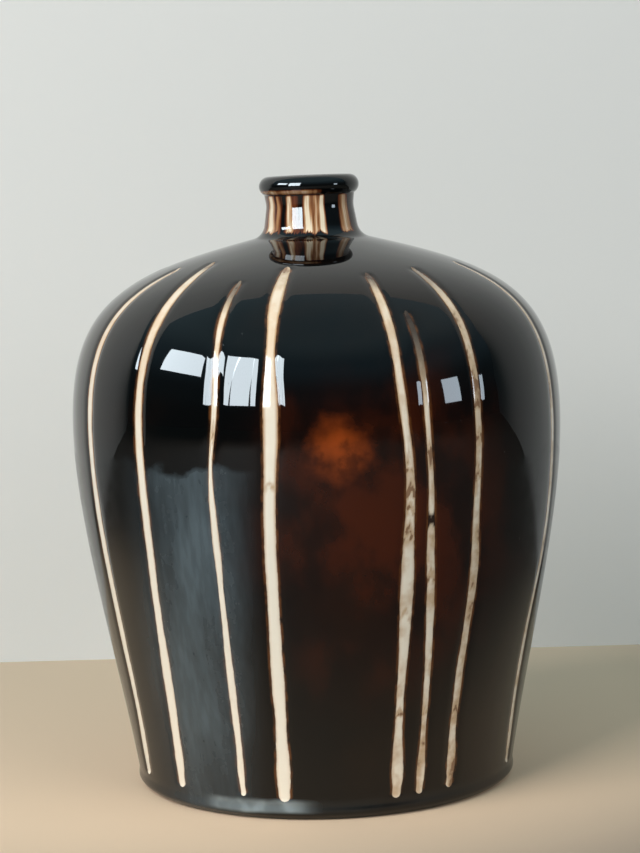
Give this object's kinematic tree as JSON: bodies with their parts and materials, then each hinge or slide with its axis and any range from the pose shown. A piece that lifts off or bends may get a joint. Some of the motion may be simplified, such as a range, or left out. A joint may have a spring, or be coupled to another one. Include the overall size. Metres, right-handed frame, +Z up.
{
  "type": "meiping vase",
  "caption": "Narrow-necked, full-shouldered glazed stoneware bottle vase with rolled lip, shallow foot ring and slip stripes running down its wall; stands by itself and holds stems and water.",
  "frame": {"origin": "centre of the foot ring, on the surface that the vase stands on", "axes": "+Z up along the axis of the vase, the pictured front faces -Y, +X is to the viewer's right"},
  "size_m": [0.2256, 0.2256, 0.28],
  "materials": {
    "glazed_stoneware": "gloss",
    "slip": "gloss"
  },
  "bodies": {
    "root": {"lower_body": "glazed_stoneware", "shoulder": "glazed_stoneware", "neck": "glazed_stoneware", "stripe_01": "slip", "stripe_02": "slip", "stripe_03": "slip", "stripe_04": "slip", "stripe_05": "slip", "stripe_06": "slip", "stripe_07": "slip", "stripe_08": "slip", "stripe_09": "slip", "stripe_10": "slip", "stripe_11": "slip", "stripe_12": "slip", "stripe_13": "slip", "stripe_14": "slip", "stripe_15": "slip", "stripe_16": "slip", "stripe_17": "slip", "stripe_18": "slip"}
  },
  "joints": []
}
